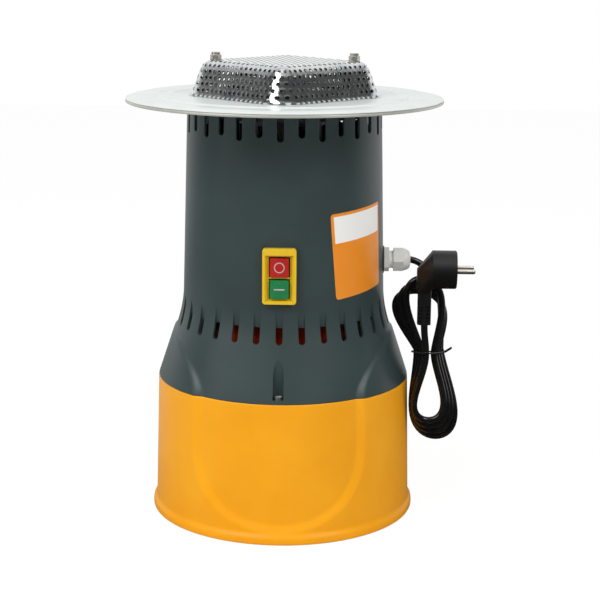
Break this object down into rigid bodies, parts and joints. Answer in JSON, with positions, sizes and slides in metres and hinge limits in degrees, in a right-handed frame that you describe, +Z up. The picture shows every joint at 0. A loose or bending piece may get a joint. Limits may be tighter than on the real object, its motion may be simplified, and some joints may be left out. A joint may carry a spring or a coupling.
{
  "type": "grain crusher head",
  "caption": "Electric grain crusher head standing on its hopper rim: tapered vented motor housing, barrel flange, perforated screen, push-button switch, tied mains cord.",
  "frame": {"origin": "centre of the hopper rim, on the plane it stands on", "axes": "+Z up along the motor shaft, -Y is the front with the switch, +X is the side with the cord"},
  "size_m": [0.353, 0.32, 0.4716],
  "materials": {
    "hopper_plastic": "satin moulded plastic",
    "funnel_plastic": "moulded plastic",
    "housing_plastic": "fine textured moulded plastic",
    "inner_plastic": "moulded plastic",
    "zinc_sheet": "bright zinc plate",
    "screen_steel": "bright zinc plate",
    "fastener_steel": "zinc plated",
    "gate_steel": "bare sheet",
    "switch_yellow": "glossy moulded plastic",
    "switch_black": "moulded plastic",
    "button_red": "glossy moulded plastic",
    "button_green": "glossy moulded plastic",
    "gland_nylon": "moulded nylon",
    "rubber_black": "moulded rubber",
    "cord_black": "smooth PVC",
    "plug_black": "moulded PVC",
    "pin_nickel": "nickel plate",
    "lamination": "varnished steel sheets",
    "copper_wire": "enamelled copper",
    "bracket_alloy": "die cast",
    "carbon": "pressed carbon",
    "bearing_steel": "ground",
    "commutator_copper": "turned copper",
    "holder_phenolic": "moulded phenolic",
    "blade_steel": "hardened sheet"
  },
  "bodies": {
    "body": {"hopper": "hopper_plastic", "funnel": "funnel_plastic", "air_guide": "funnel_plastic", "gate_guide": "inner_plastic", "feed_tube": "inner_plastic", "motor_housing": "housing_plastic", "housing_screws": "fastener_steel", "flange_plate": "zinc_sheet", "flange_screws": "fastener_steel", "screen": "screen_steel", "screen_studs": "fastener_steel", "stud_nuts": "fastener_steel", "clamp_nuts": "fastener_steel", "lock_nuts": "fastener_steel", "switch_bezel": "switch_yellow", "switch_body": "switch_black", "gland_body": "gland_nylon", "gland_locknut": "gland_nylon", "gland_cap": "gland_nylon", "gland_seal": "rubber_black", "cord_lead": "cord_black", "cord_hank": "cord_black", "cord_tail": "cord_black", "cord_tie": "plug_black", "plug_body": "plug_black", "plug_pins": "pin_nickel", "stator_core": "lamination", "field_coils": "copper_wire", "drive_bracket": "bracket_alloy", "rear_bracket": "bracket_alloy", "motor_bolts": "fastener_steel", "brush_holders": "holder_phenolic", "carbon_brushes": "carbon", "bearing_outer_rings": "bearing_steel", "shaft_seal": "rubber_black"},
    "rotor": {"bearing_inner_rings": "bearing_steel", "shaft": "bearing_steel", "armature_core": "lamination", "armature_coils": "copper_wire", "commutator": "commutator_copper", "cooling_fan": "inner_plastic", "blade_spacer": "bearing_steel", "blade": "blade_steel", "blade_washer": "fastener_steel", "blade_nut": "fastener_steel"},
    "feed_gate": {"feed_gate": "gate_steel"},
    "stop_button": {"stop_button": "button_red"},
    "start_button": {"start_button": "button_green"}
  },
  "joints": [
    {"name": "rotor_spin", "type": "hinge", "parent": "body", "child": "rotor", "pos_m": [0, 0, 0.35], "axis": [0, 0, 1], "continuous": true},
    {"name": "gate_pull", "type": "slide", "parent": "body", "child": "feed_gate", "axis": [0, 1, 0], "range_m": [0, 0.041]},
    {"name": "stop_press", "type": "slide", "parent": "body", "child": "stop_button", "axis": [0, 1, 0], "range_m": [0, 0.003], "stiffness_N_per_m": 800, "springref_m": -0.001},
    {"name": "start_press", "type": "slide", "parent": "body", "child": "start_button", "axis": [0, 1, 0], "range_m": [0, 0.003], "stiffness_N_per_m": 800, "springref_m": -0.001}
  ]
}
